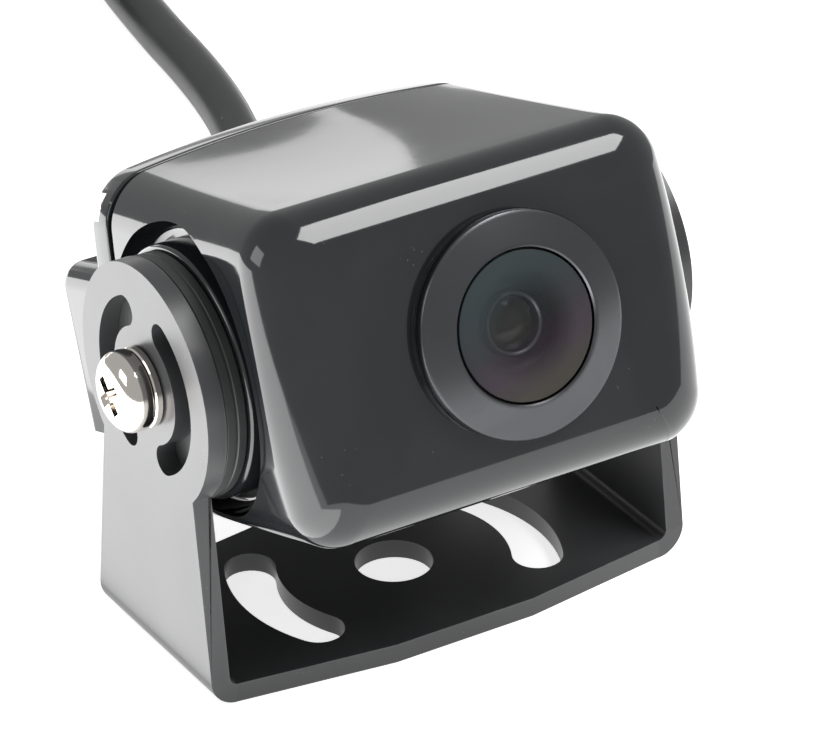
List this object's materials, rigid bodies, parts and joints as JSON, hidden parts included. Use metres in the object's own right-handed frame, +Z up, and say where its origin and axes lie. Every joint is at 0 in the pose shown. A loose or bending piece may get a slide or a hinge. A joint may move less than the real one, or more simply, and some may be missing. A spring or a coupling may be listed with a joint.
{
  "type": "backup camera",
  "caption": "Reversing camera for a truck or trailer: glossy black die-cast head with a round lens, tilting in a slotted U bracket, with a rear cable and screw-lock connector.",
  "frame": {"origin": "on the surface that the bracket stands on, below the middle of the object's own box without its lead; the bracket's centre hole is 10.8 mm in front of it", "axes": "+Z up, the lens looks along -Y, pitched 19.5 degrees nose up, the lead leaves along +Y, and +X is on the right as seen from in front of the lens"},
  "size_m": [0.0913, 0.2535, 0.0509],
  "materials": {
    "head_paint": "glossy black paint over a die casting",
    "bracket_paint": "semi-gloss black paint",
    "anodised_ring": "satin black anodising",
    "coated_glass": "clear glass with a green and purple coating",
    "black_rubber": "matt moulded rubber",
    "cable_jacket": "satin black jacket",
    "nickel_steel": "bright nickel plating",
    "nickel_brass": "satin nickel plating",
    "brass": "turned",
    "circuit_board": "green solder mask",
    "chip": "smooth",
    "black_plastic": "moulded",
    "ivory_nylon": "moulded"
  },
  "bodies": {
    "bracket": {"bracket": "bracket_paint", "lead": "cable_jacket", "lead_tail": "cable_jacket", "lead_coil": "cable_jacket", "coil_tie": "black_rubber", "connector_sleeve": "black_rubber", "connector_body": "nickel_brass", "connector_insert": "black_plastic", "connector_pin_1": "brass", "connector_pin_2": "brass", "connector_pin_3": "brass", "connector_pin_4": "brass"},
    "camera_head": {"front_housing": "head_paint", "lens_bezel": "anodised_ring", "front_element": "coated_glass", "lens_seal": "black_rubber", "lens_barrel": "anodised_ring", "lens_retainer": "anodised_ring", "middle_element": "coated_glass", "rear_element": "coated_glass", "lens_holder": "black_plastic", "infrared_filter": "chip", "image_sensor": "chip", "sensor_board": "circuit_board", "main_board": "circuit_board", "board_post_1": "brass", "board_post_2": "brass", "board_post_3": "brass", "board_post_4": "brass", "board_screw_1": "nickel_steel", "board_screw_2": "nickel_steel", "board_screw_3": "nickel_steel", "board_screw_4": "nickel_steel", "board_header": "black_plastic", "lead_socket": "ivory_nylon", "lead_plug": "ivory_nylon", "lead_wires": "black_rubber", "rear_gasket": "black_rubber", "rear_cover": "head_paint", "cover_screw_1": "nickel_steel", "cover_screw_2": "nickel_steel", "cover_screw_3": "nickel_steel", "cover_screw_4": "nickel_steel", "lead_boot": "black_rubber", "friction_pad_left": "black_rubber", "friction_pad_right": "black_rubber"},
    "left_pivot_screw": {"pivot_screw_left": "nickel_steel", "lock_washer_left": "nickel_steel"},
    "right_pivot_screw": {"pivot_screw_right": "nickel_steel", "lock_washer_right": "nickel_steel"},
    "connector_nut": {"connector_collar": "nickel_brass"}
  },
  "joints": [
    {"name": "head_tilt", "type": "hinge", "parent": "bracket", "child": "camera_head", "pos_m": [0, -0.0108, 0.0304], "axis": [-1, 0, 0], "range_deg": [-60, 9], "deforming": ["lead"]},
    {"name": "left_pivot_screw_turn", "type": "hinge", "parent": "camera_head", "child": "left_pivot_screw", "pos_m": [-0.0276, -0.0108, 0.0304], "axis": [-1, 0, 0], "range_deg": [0, 360]},
    {"name": "right_pivot_screw_turn", "type": "hinge", "parent": "camera_head", "child": "right_pivot_screw", "pos_m": [0.0276, -0.0108, 0.0304], "axis": [1, 0, 0], "range_deg": [0, 360]},
    {"name": "connector_nut_turn", "type": "hinge", "parent": "bracket", "child": "connector_nut", "pos_m": [0.05269, 0.20794, 0.0073], "axis": [0.1426, 0.9898, 0], "continuous": true}
  ]
}
